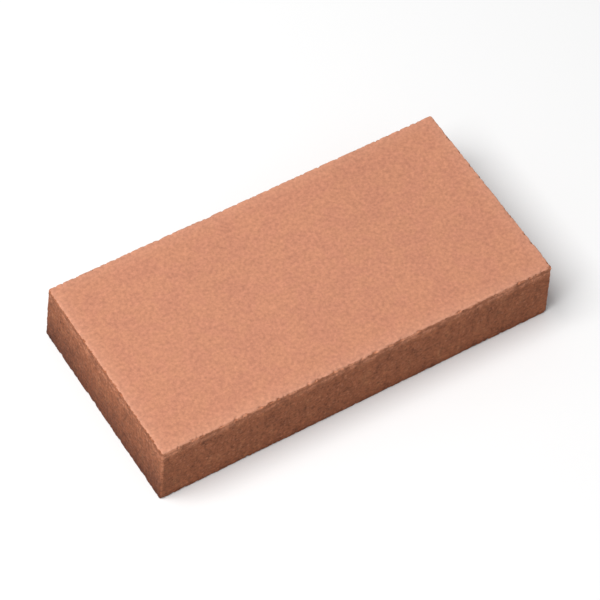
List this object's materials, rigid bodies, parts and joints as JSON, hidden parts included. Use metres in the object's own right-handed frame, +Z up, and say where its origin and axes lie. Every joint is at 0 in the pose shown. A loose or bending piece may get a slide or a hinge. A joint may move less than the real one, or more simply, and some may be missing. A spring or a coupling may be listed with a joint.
{
  "type": "concrete floor tile",
  "caption": "Rectangular pressed concrete floor tile, twice as long as wide, with slightly leaning sides and an eased top edge, bedded in rows to pave a floor or terrace.",
  "frame": {"origin": "centre of the bed face, the underside that the tile lies on", "axes": "+X along the length, +Y across the width, +Z up to the wearing face"},
  "size_m": [0.3, 0.15, 0.05],
  "materials": {
    "concrete": "through-coloured terracotta concrete: smooth matt wearing face, rougher sides"
  },
  "bodies": {
    "root": {"floor_tile": "concrete"}
  },
  "joints": []
}
